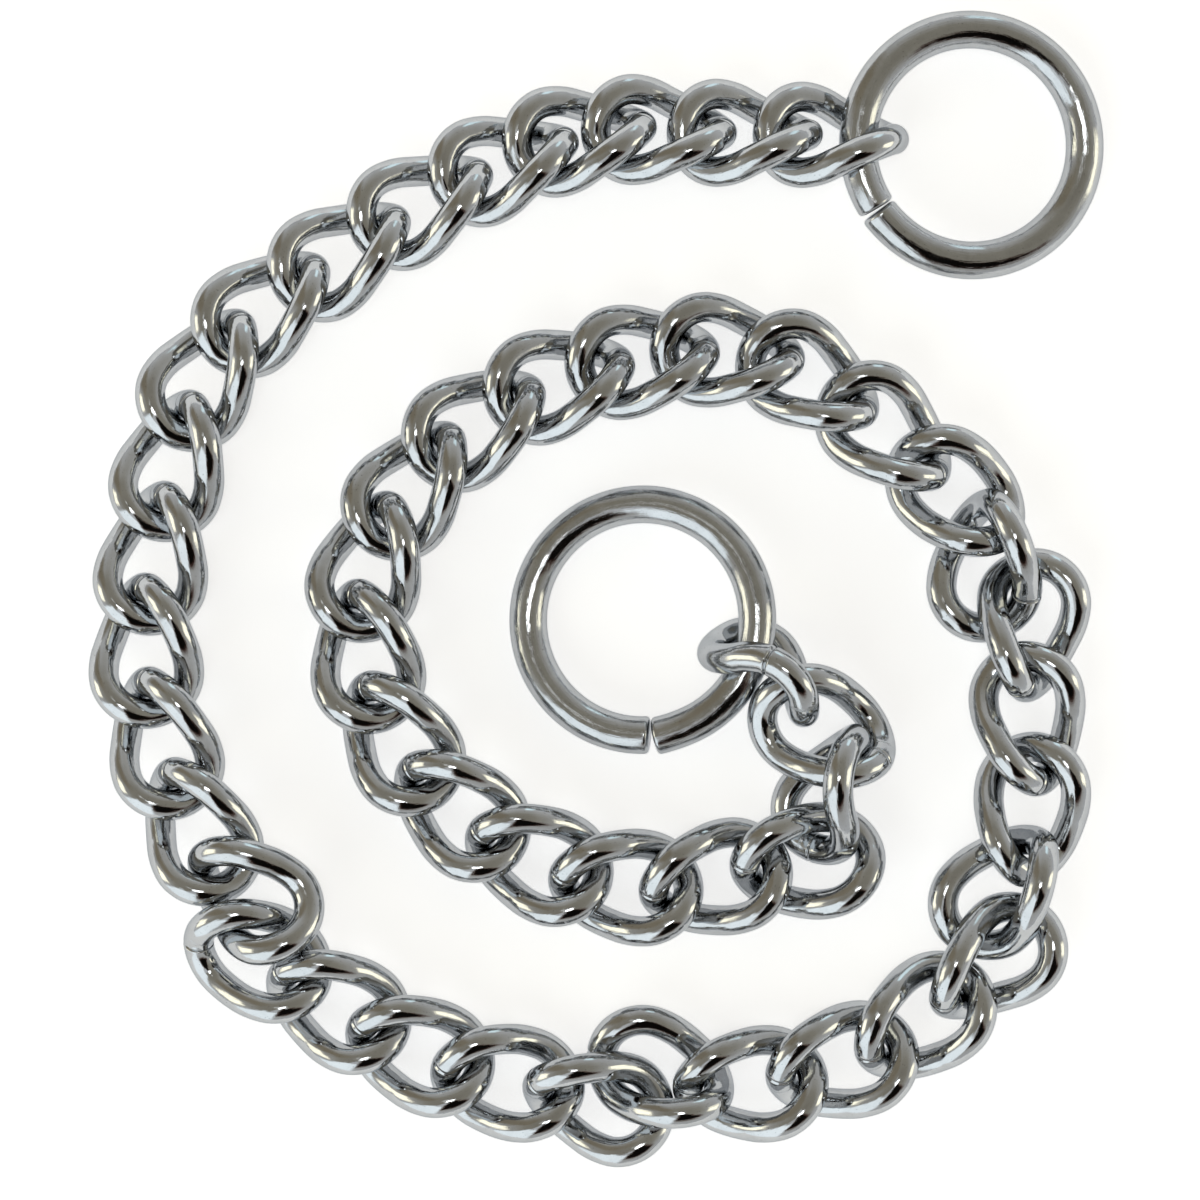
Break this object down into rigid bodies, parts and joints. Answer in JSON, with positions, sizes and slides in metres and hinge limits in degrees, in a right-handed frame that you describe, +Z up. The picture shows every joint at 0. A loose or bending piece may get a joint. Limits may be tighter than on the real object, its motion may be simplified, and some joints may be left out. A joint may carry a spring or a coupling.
{
  "type": "slip chain",
  "caption": "Plated steel slip chain of twisted welded wire links with a round ring at each end, laid flat in a spiral.",
  "frame": {"origin": "on the table, under the middle of the laid chain's box", "axes": "+Z up from the table, +X towards the outer ring's side of the spiral, +Y away from a reader who looks down on it"},
  "size_m": [0.1338, 0.1522, 0.0177],
  "materials": {
    "link_steel": "bright nickel-chrome plate over welded steel wire",
    "ring_steel": "bright nickel-chrome plate over bent steel wire"
  },
  "bodies": {
    "ring_a": {"ring_a": "ring_steel"},
    "link_01": {"link_01": "link_steel"},
    "link_02": {"link_02": "link_steel"},
    "link_03": {"link_03": "link_steel"},
    "link_04": {"link_04": "link_steel"},
    "link_05": {"link_05": "link_steel"},
    "link_06": {"link_06": "link_steel"},
    "link_07": {"link_07": "link_steel"},
    "link_08": {"link_08": "link_steel"},
    "link_09": {"link_09": "link_steel"},
    "link_10": {"link_10": "link_steel"},
    "link_11": {"link_11": "link_steel"},
    "link_12": {"link_12": "link_steel"},
    "link_13": {"link_13": "link_steel"},
    "link_14": {"link_14": "link_steel"},
    "link_15": {"link_15": "link_steel"},
    "link_16": {"link_16": "link_steel"},
    "link_17": {"link_17": "link_steel"},
    "link_18": {"link_18": "link_steel"},
    "link_19": {"link_19": "link_steel"},
    "link_20": {"link_20": "link_steel"},
    "link_21": {"link_21": "link_steel"},
    "link_22": {"link_22": "link_steel"},
    "link_23": {"link_23": "link_steel"},
    "link_24": {"link_24": "link_steel"},
    "link_25": {"link_25": "link_steel"},
    "link_26": {"link_26": "link_steel"},
    "link_27": {"link_27": "link_steel"},
    "link_28": {"link_28": "link_steel"},
    "link_29": {"link_29": "link_steel"},
    "link_30": {"link_30": "link_steel"},
    "link_31": {"link_31": "link_steel"},
    "link_32": {"link_32": "link_steel"},
    "link_33": {"link_33": "link_steel"},
    "link_34": {"link_34": "link_steel"},
    "link_35": {"link_35": "link_steel"},
    "link_36": {"link_36": "link_steel"},
    "link_37": {"link_37": "link_steel"},
    "link_38": {"link_38": "link_steel"},
    "link_39": {"link_39": "link_steel"},
    "link_40": {"link_40": "link_steel"},
    "link_41": {"link_41": "link_steel"},
    "link_42": {"link_42": "link_steel"},
    "link_43": {"link_43": "link_steel"},
    "link_44": {"link_44": "link_steel"},
    "link_45": {"link_45": "link_steel"},
    "link_46": {"link_46": "link_steel"},
    "link_47": {"link_47": "link_steel"},
    "link_48": {"link_48": "link_steel"},
    "link_49": {"link_49": "link_steel"},
    "ring_b": {"ring_b": "ring_steel"}
  },
  "joints": [
    {"name": "hook_01", "type": "hinge", "parent": "ring_a", "child": "link_01", "pos_m": [0.03432, 0.05959, 0.00672], "axis": [0.0777, 0.9969, -0.0109], "range_deg": [-20, 20]},
    {"name": "hook_02", "type": "hinge", "parent": "link_01", "child": "link_02", "pos_m": [0.02374, 0.05592, 0.00774], "axis": [-0.6348, 0.7087, -0.3078], "range_deg": [-4, 20]},
    {"name": "hook_03", "type": "hinge", "parent": "link_02", "child": "link_03", "pos_m": [0.01259, 0.05604, 0.00741], "axis": [0.6589, -0.7013, 0.2721], "range_deg": [-20, 2]},
    {"name": "hook_04", "type": "hinge", "parent": "link_03", "child": "link_04", "pos_m": [0.00211, 0.05574, 0.00706], "axis": [-0.7761, 0.5581, -0.2935], "range_deg": [-4, 15]},
    {"name": "hook_05", "type": "hinge", "parent": "link_04", "child": "link_05", "pos_m": [-0.00333, 0.05364, 0.00864], "axis": [0.8334, 0.2881, 0.4717], "range_deg": [-6, 4]},
    {"name": "hook_06", "type": "hinge", "parent": "link_05", "child": "link_06", "pos_m": [-0.01609, 0.04948, 0.007], "axis": [-0.9296, 0.2291, -0.2888], "range_deg": [-6, 20]},
    {"name": "hook_07", "type": "hinge", "parent": "link_06", "child": "link_07", "pos_m": [-0.02714, 0.04398, 0.0063], "axis": [0.933, -0.3254, 0.1537], "range_deg": [-20, 6]},
    {"name": "hook_08", "type": "hinge", "parent": "link_07", "child": "link_08", "pos_m": [-0.04086, 0.04011, 0.00653], "axis": [0.423, -0.8803, -0.2148], "range_deg": [-4, 20]},
    {"name": "hook_09", "type": "hinge", "parent": "link_08", "child": "link_09", "pos_m": [-0.05126, 0.03388, 0.00671], "axis": [-0.2286, 0.9682, 0.1017], "range_deg": [-20, 4]},
    {"name": "hook_10", "type": "hinge", "parent": "link_09", "child": "link_10", "pos_m": [-0.05562, 0.02052, 0.00592], "axis": [-0.8559, 0.4273, 0.2913], "range_deg": [-20, 2]},
    {"name": "hook_11", "type": "hinge", "parent": "link_10", "child": "link_11", "pos_m": [-0.0577, 0.00816, 0.00585], "axis": [0.9355, -0.1733, -0.3079], "range_deg": [-15, 20]},
    {"name": "hook_12", "type": "hinge", "parent": "link_11", "child": "link_12", "pos_m": [-0.06229, -0.00286, 0.00673], "axis": [0.7567, -0.65, -0.07], "range_deg": [-6, 20]},
    {"name": "hook_13", "type": "hinge", "parent": "link_12", "child": "link_13", "pos_m": [-0.05912, -0.01646, 0.00599], "axis": [-0.9364, -0.0163, 0.3506], "range_deg": [-20, 15]},
    {"name": "hook_14", "type": "hinge", "parent": "link_13", "child": "link_14", "pos_m": [-0.05123, -0.02486, 0.00552], "axis": [-0.3684, -0.9113, -0.1837], "range_deg": [-2, 20]},
    {"name": "hook_15", "type": "hinge", "parent": "link_14", "child": "link_15", "pos_m": [-0.05306, -0.03948, 0.00714], "axis": [-0.9546, 0.2939, -0.0488], "range_deg": [-18, 0]},
    {"name": "hook_16", "type": "hinge", "parent": "link_15", "child": "link_16", "pos_m": [-0.04731, -0.04605, 0.00685], "axis": [-0.4631, 0.4223, -0.7792], "range_deg": [-4, 2]},
    {"name": "hook_17", "type": "hinge", "parent": "link_16", "child": "link_17", "pos_m": [-0.03723, -0.05251, 0.00592], "axis": [-0.395, -0.6914, 0.6049], "range_deg": [-20, 20]},
    {"name": "hook_18", "type": "hinge", "parent": "link_17", "child": "link_18", "pos_m": [-0.0285, -0.0608, 0.0064], "axis": [-0.7916, -0.5392, 0.2874], "range_deg": [-20, 0]},
    {"name": "hook_19", "type": "hinge", "parent": "link_18", "child": "link_19", "pos_m": [-0.01797, -0.06666, 0.0066], "axis": [0.8512, 0.4848, -0.201], "range_deg": [0, 20]},
    {"name": "hook_20", "type": "hinge", "parent": "link_19", "child": "link_20", "pos_m": [-0.00373, -0.06678, 0.00518], "axis": [0.2453, 0.7704, -0.5884], "range_deg": [-20, 20]},
    {"name": "hook_21", "type": "hinge", "parent": "link_20", "child": "link_21", "pos_m": [0.0032, -0.06276, 0.00696], "axis": [0.8046, -0.1437, -0.5761], "range_deg": [-20, 0]},
    {"name": "hook_22", "type": "hinge", "parent": "link_21", "child": "link_22", "pos_m": [0.01604, -0.06543, 0.00543], "axis": [0.0712, -0.6921, 0.7183], "range_deg": [-15, 20]},
    {"name": "hook_23", "type": "hinge", "parent": "link_22", "child": "link_23", "pos_m": [0.0253, -0.06014, 0.00448], "axis": [-0.8775, 0.4701, 0.0945], "range_deg": [-20, 4]},
    {"name": "hook_24", "type": "hinge", "parent": "link_23", "child": "link_24", "pos_m": [0.03511, -0.0562, 0.00449], "axis": [-0.9515, 0.1177, 0.2843], "range_deg": [-20, 0]},
    {"name": "hook_25", "type": "hinge", "parent": "link_24", "child": "link_25", "pos_m": [0.04975, -0.05191, 0.00523], "axis": [0.4866, -0.695, 0.5294], "range_deg": [-20, 6]},
    {"name": "hook_26", "type": "hinge", "parent": "link_25", "child": "link_26", "pos_m": [0.05689, -0.04251, 0.0051], "axis": [0.8882, -0.4549, 0.064], "range_deg": [0, 20]},
    {"name": "hook_27", "type": "hinge", "parent": "link_26", "child": "link_27", "pos_m": [0.05351, -0.03368, 0.00429], "axis": [-0.9211, -0.3619, -0.1434], "range_deg": [-20, 15]},
    {"name": "hook_28", "type": "hinge", "parent": "link_27", "child": "link_28", "pos_m": [0.06073, -0.02217, 0.00662], "axis": [-0.7391, 0.6473, -0.1865], "range_deg": [-15, 20]},
    {"name": "hook_29", "type": "hinge", "parent": "link_28", "child": "link_29", "pos_m": [0.05627, -0.00884, 0.00587], "axis": [0.907, 0.0186, 0.4208], "range_deg": [-20, 20]},
    {"name": "hook_30", "type": "hinge", "parent": "link_29", "child": "link_30", "pos_m": [0.05187, -0.00223, 0.00665], "axis": [-0.0104, 0.7645, -0.6446], "range_deg": [-12, 12]},
    {"name": "hook_31", "type": "hinge", "parent": "link_30", "child": "link_31", "pos_m": [0.05085, 0.01092, 0.0043], "axis": [-0.5084, -0.3106, -0.8031], "range_deg": [-8, 20]},
    {"name": "hook_32", "type": "hinge", "parent": "link_31", "child": "link_32", "pos_m": [0.04203, 0.01882, 0.00589], "axis": [-0.7655, -0.4526, -0.4573], "range_deg": [-20, 20]},
    {"name": "hook_33", "type": "hinge", "parent": "link_32", "child": "link_33", "pos_m": [0.03189, 0.0261, 0.00605], "axis": [0.6183, 0.7113, 0.3342], "range_deg": [-20, 20]},
    {"name": "hook_34", "type": "hinge", "parent": "link_33", "child": "link_34", "pos_m": [0.02429, 0.0346, 0.00673], "axis": [-0.9601, -0.2702, 0.0714], "range_deg": [-2, 20]},
    {"name": "hook_35", "type": "hinge", "parent": "link_34", "child": "link_35", "pos_m": [0.01384, 0.02578, 0.0069], "axis": [-0.8835, 0.0961, -0.4585], "range_deg": [-4, 20]},
    {"name": "hook_36", "type": "hinge", "parent": "link_35", "child": "link_36", "pos_m": [0.00382, 0.02413, 0.00678], "axis": [-0.8884, -0.0991, -0.4482], "range_deg": [-4, 20]},
    {"name": "hook_37", "type": "hinge", "parent": "link_36", "child": "link_37", "pos_m": [-0.01301, 0.02533, 0.00631], "axis": [-0.1748, 0.9405, 0.2913], "range_deg": [-20, 10]},
    {"name": "hook_38", "type": "hinge", "parent": "link_37", "child": "link_38", "pos_m": [-0.0237, 0.01944, 0.00669], "axis": [-0.1251, 0.9852, 0.1174], "range_deg": [-20, 6]},
    {"name": "hook_39", "type": "hinge", "parent": "link_38", "child": "link_39", "pos_m": [-0.03174, 0.0114, 0.00655], "axis": [0.0224, 0.9788, -0.2037], "range_deg": [-20, 2]},
    {"name": "hook_40", "type": "hinge", "parent": "link_39", "child": "link_40", "pos_m": [-0.03361, -0.00444, 0.00643], "axis": [0.8311, -0.4952, -0.253], "range_deg": [-2, 20]},
    {"name": "hook_41", "type": "hinge", "parent": "link_40", "child": "link_41", "pos_m": [-0.031, -0.01707, 0.00653], "axis": [-0.9598, 0.1855, 0.2106], "range_deg": [-20, 0]},
    {"name": "hook_42", "type": "hinge", "parent": "link_41", "child": "link_42", "pos_m": [-0.02299, -0.02777, 0.00625], "axis": [-0.9069, -0.2764, 0.3182], "range_deg": [-20, 2]},
    {"name": "hook_43", "type": "hinge", "parent": "link_42", "child": "link_43", "pos_m": [-0.01325, -0.03592, 0.00632], "axis": [0.8364, 0.4547, -0.3061], "range_deg": [-2, 20]},
    {"name": "hook_44", "type": "hinge", "parent": "link_43", "child": "link_44", "pos_m": [-0.00207, -0.04139, 0.00656], "axis": [0.813, 0.5399, -0.2179], "range_deg": [-4, 20]},
    {"name": "hook_45", "type": "hinge", "parent": "link_44", "child": "link_45", "pos_m": [0.01125, -0.04215, 0.00633], "axis": [-0.5167, -0.7952, 0.3173], "range_deg": [-20, 10]},
    {"name": "hook_46", "type": "hinge", "parent": "link_45", "child": "link_46", "pos_m": [0.02186, -0.03359, 0.00413], "axis": [0.7569, -0.6372, 0.1453], "range_deg": [0, 15]},
    {"name": "hook_47", "type": "hinge", "parent": "link_46", "child": "link_47", "pos_m": [0.03417, -0.0318, 0.00454], "axis": [-0.7276, 0.6704, -0.1453], "range_deg": [-20, 1]},
    {"name": "hook_48", "type": "hinge", "parent": "link_47", "child": "link_48", "pos_m": [0.03381, -0.01968, 0.00869], "axis": [-0.046, -0.0101, -0.9989], "range_deg": [-15, 8]},
    {"name": "hook_49", "type": "hinge", "parent": "link_48", "child": "link_49", "pos_m": [0.02578, -0.01208, 0.00954], "axis": [0.9538, 0.2986, -0.0341], "range_deg": [-2, 20]},
    {"name": "hook_50", "type": "hinge", "parent": "link_49", "child": "ring_b", "pos_m": [0.02043, -0.00569, 0.00208], "axis": [0.9898, -0.0728, -0.1225], "range_deg": [0, 20]}
  ]
}
